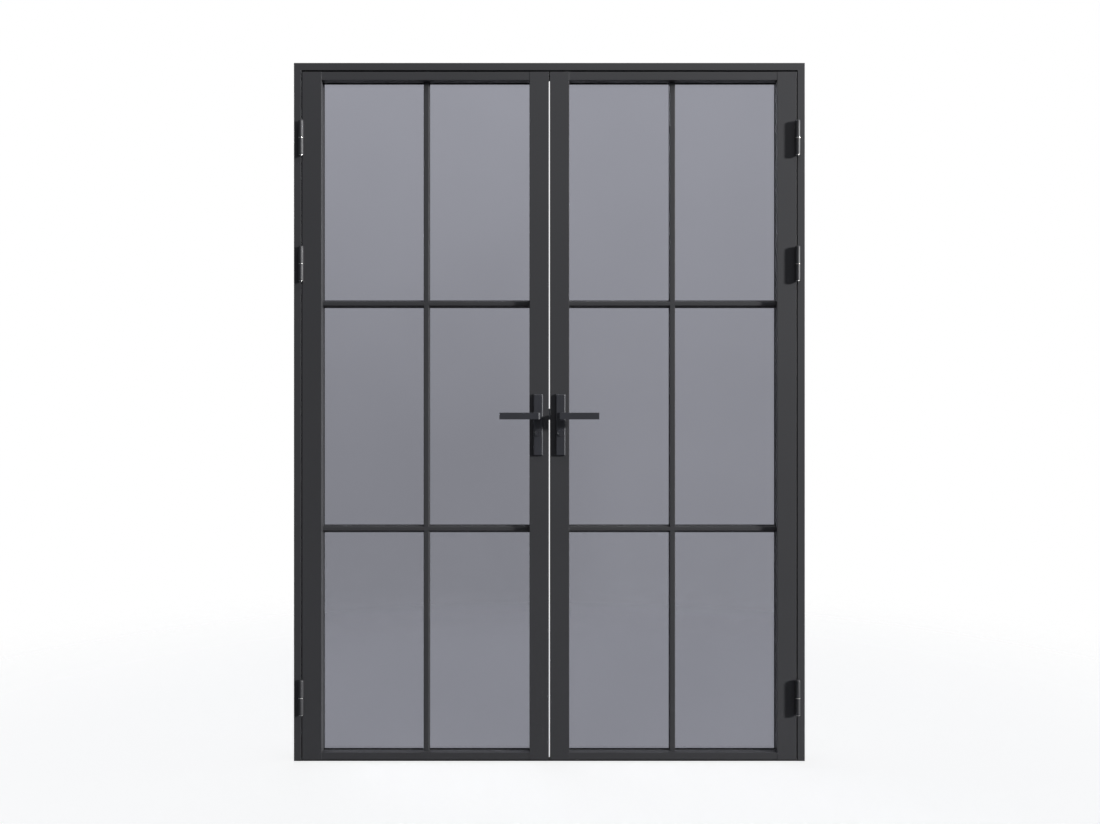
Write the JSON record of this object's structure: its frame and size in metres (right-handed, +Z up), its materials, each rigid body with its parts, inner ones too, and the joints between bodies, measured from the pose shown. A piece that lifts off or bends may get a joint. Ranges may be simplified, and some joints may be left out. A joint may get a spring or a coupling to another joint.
{
  "type": "french doors",
  "caption": "Pair of dark glazed steel doors in a slim steel frame, with divided panes, lever handles, lock, shoot bolts and barrel hinges.",
  "frame": {"origin": "on the floor, midway between the jambs and midway through the thickness of the leaves", "axes": "+X across the doorway to the right as seen from the opening side, +Y through the doorway from the opening side to the stop side, +Z up"},
  "size_m": [1.537, 0.166, 2.1],
  "materials": {
    "frame_coat": "matt powder-coated steel",
    "handle_black": "satin black coated metal",
    "bright_steel": "satin stainless steel",
    "zinc_steel": "zinc-plated steel",
    "black_rubber": "matt black rubber",
    "tinted_glass": "grey-blue tinted glass"
  },
  "bodies": {
    "frame": {"left_jamb": "frame_coat", "right_jamb": "frame_coat", "frame_head": "frame_coat", "threshold_strip": "frame_coat", "frame_seals": "black_rubber", "left_frame_knuckles": "handle_black", "right_frame_knuckles": "handle_black", "hinge_pins": "bright_steel", "hinge_washers": "bright_steel", "head_keep": "bright_steel"},
    "left_leaf": {"left_hinge_stile": "frame_coat", "left_meeting_stile": "frame_coat", "left_top_rail": "frame_coat", "left_bottom_rail": "frame_coat", "left_upper_bar": "frame_coat", "left_lower_bar": "frame_coat", "left_vertical_bars": "frame_coat", "left_glass_panes": "tinted_glass", "left_glazing_gaskets": "black_rubber", "left_glazing_beads": "frame_coat", "left_door_knuckles": "handle_black", "left_outside_plate": "handle_black", "left_inside_plate": "handle_black", "left_handle_screws": "bright_steel", "left_lock_case": "zinc_steel", "left_faceplate": "bright_steel", "left_faceplate_screws": "bright_steel", "left_cylinder": "handle_black"},
    "left_handle": {"left_outside_lever": "handle_black", "left_inside_lever": "handle_black", "left_spindle": "zinc_steel", "left_lever_hub": "zinc_steel"},
    "left_latch": {"left_latch_bolt": "bright_steel"},
    "left_turn": {"left_cylinder_plug": "handle_black", "left_thumbturn": "handle_black"},
    "left_bolt": {"left_deadbolt": "bright_steel"},
    "right_leaf": {"right_hinge_stile": "frame_coat", "right_meeting_stile": "frame_coat", "right_top_rail": "frame_coat", "right_bottom_rail": "frame_coat", "right_upper_bar": "frame_coat", "right_lower_bar": "frame_coat", "right_vertical_bars": "frame_coat", "right_glass_panes": "tinted_glass", "right_glazing_gaskets": "black_rubber", "right_glazing_beads": "frame_coat", "right_door_knuckles": "handle_black", "right_outside_plate": "handle_black", "right_inside_plate": "handle_black", "right_handle_screws": "bright_steel", "right_gear_case": "zinc_steel", "right_strike_plate": "bright_steel", "right_strike_screws": "bright_steel", "right_blank_cylinder": "handle_black"},
    "right_handle": {"right_outside_lever": "handle_black", "right_inside_lever": "handle_black", "right_spindle": "zinc_steel", "right_lever_hub": "zinc_steel"},
    "right_top_shoot": {"right_top_bolt": "bright_steel"},
    "right_bottom_shoot": {"right_bottom_bolt": "bright_steel"}
  },
  "joints": [
    {"name": "left_leaf_swing", "type": "hinge", "parent": "frame", "child": "left_leaf", "pos_m": [-0.745, -0.0345, 0], "axis": [0, 0, -1], "range_deg": [0, 170]},
    {"name": "right_leaf_swing", "type": "hinge", "parent": "frame", "child": "right_leaf", "pos_m": [0.745, -0.0345, 0], "axis": [0, 0, 1], "range_deg": [0, 170]},
    {"name": "left_lever_turn", "type": "hinge", "parent": "left_leaf", "child": "left_handle", "pos_m": [-0.0337, 0, 1.038], "axis": [0, -1, 0], "range_deg": [0, 45], "stiffness_Nm_per_rad": 0.8, "springref_deg": -40.11},
    {"name": "left_latch_slide", "type": "slide", "parent": "left_leaf", "child": "left_latch", "axis": [-1, 0, 0], "range_m": [0, 0.01186]},
    {"name": "left_turn_rotate", "type": "hinge", "parent": "left_leaf", "child": "left_turn", "pos_m": [-0.0337, 0, 0.988], "axis": [0, -1, 0], "range_deg": [0, 90]},
    {"name": "left_deadbolt_slide", "type": "slide", "parent": "left_leaf", "child": "left_bolt", "axis": [1, 0, 0], "range_m": [0, 0.0198]},
    {"name": "right_lever_turn", "type": "hinge", "parent": "right_leaf", "child": "right_handle", "pos_m": [0.0337, 0, 1.038], "axis": [0, 1, 0], "range_deg": [0, 45], "stiffness_Nm_per_rad": 0.8, "springref_deg": -40.11},
    {"name": "right_top_bolt_slide", "type": "slide", "parent": "right_leaf", "child": "right_top_shoot", "axis": [0, 0, -1], "range_m": [0, 0.01186]},
    {"name": "right_bottom_bolt_slide", "type": "slide", "parent": "right_leaf", "child": "right_bottom_shoot", "axis": [0, 0, 1], "range_m": [0, 0.01186]}
  ],
  "couplings": [
    {"joint": "left_latch_slide", "follows": "left_lever_turn", "m_per_rad": 0.015104},
    {"joint": "left_turn_rotate", "follows": "left_deadbolt_slide", "rad_per_m": 79.337},
    {"joint": "right_top_bolt_slide", "follows": "right_lever_turn", "m_per_rad": 0.015104},
    {"joint": "right_bottom_bolt_slide", "follows": "right_lever_turn", "m_per_rad": 0.015104}
  ]
}
